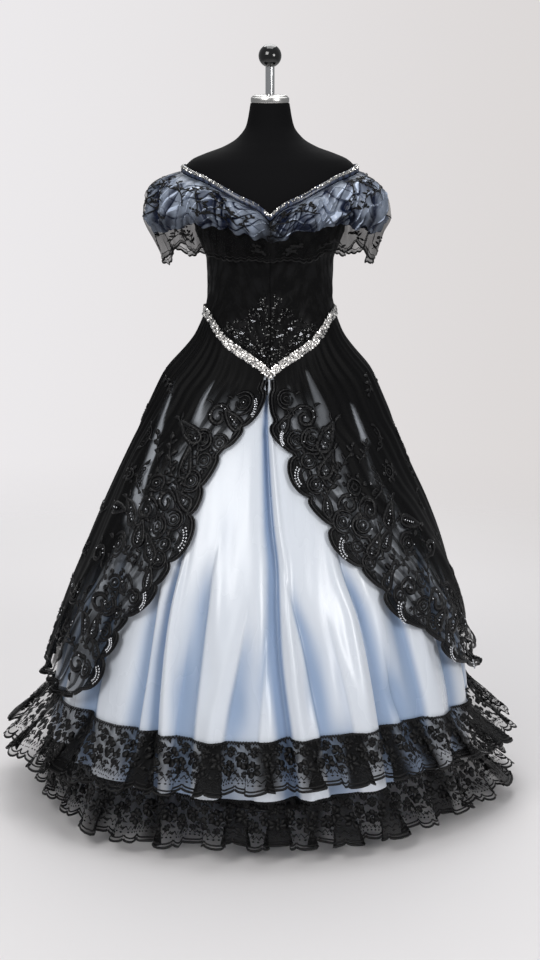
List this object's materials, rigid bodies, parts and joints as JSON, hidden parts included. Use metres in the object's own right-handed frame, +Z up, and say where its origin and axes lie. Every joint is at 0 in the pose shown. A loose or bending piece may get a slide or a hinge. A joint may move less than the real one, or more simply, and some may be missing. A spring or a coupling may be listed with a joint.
{
  "type": "rococo gown on a limbless dress form",
  "caption": "Off-the-shoulder rococo gown: pointed bodice, pale satin skirt, black net overskirt open at the front and lace flounces, on a limbless dress form.",
  "frame": {"origin": "on the floor under the pole, at the centre of the base plate's underside", "axes": "+Z up, -Y out of the gown's front, +X to the right of someone who faces the front"},
  "size_m": [1.1235, 1.0466, 1.5875],
  "materials": {
    "black_jersey": "matt black stretch cover of the dress form",
    "black_bodice_lace": "black lace over black cloth, with black sequins at the point",
    "black_net": "fine black tulle with corded embroidery",
    "black_lace": "black floral lace with a scalloped edge",
    "blue_satin": "pale blue satin with a soft sheen",
    "veiled_satin": "pale blue satin seen through black tulle",
    "silver_trim": "silver sequins and rhinestones on braid",
    "turned_aluminium": "turned, brushed round",
    "chrome": "polished",
    "black_ball": "glossy black",
    "stand_steel": "satin black paint"
  },
  "bodies": {
    "root": {"bodice_front_left": "black_bodice_lace", "bodice_front_right": "black_bodice_lace", "bodice_back_left": "black_bodice_lace", "bodice_back_right": "black_bodice_lace", "neckline_trim": "silver_trim", "waist_trim": "silver_trim", "bertha_satin_left": "veiled_satin", "bertha_satin_right": "veiled_satin", "bertha_net_left": "black_net", "bertha_net_right": "black_net", "skirt_front": "blue_satin", "skirt_side_left": "blue_satin", "skirt_side_right": "blue_satin", "skirt_back_left": "blue_satin", "skirt_back_right": "blue_satin", "overskirt_side_left": "black_net", "overskirt_side_right": "black_net", "overskirt_back_left": "black_net", "overskirt_back_right": "black_net", "overskirt_edge_left": "black_lace", "overskirt_edge_right": "black_lace", "overskirt_hem_left": "black_lace", "overskirt_hem_right": "black_lace", "upper_flounce_1": "black_lace", "upper_flounce_2": "black_lace", "upper_flounce_3": "black_lace", "upper_flounce_4": "black_lace", "lower_flounce_1": "black_lace", "lower_flounce_2": "black_lace", "lower_flounce_3": "black_lace", "lower_flounce_4": "black_lace", "lower_flounce_5": "black_lace", "lower_flounce_6": "black_lace", "dress_form": "black_jersey", "neck_cap": "turned_aluminium", "finial_rod": "chrome", "finial_ball": "black_ball", "stand_collar": "stand_steel", "stand_pole": "stand_steel", "stand_base": "stand_steel"}
  },
  "joints": []
}
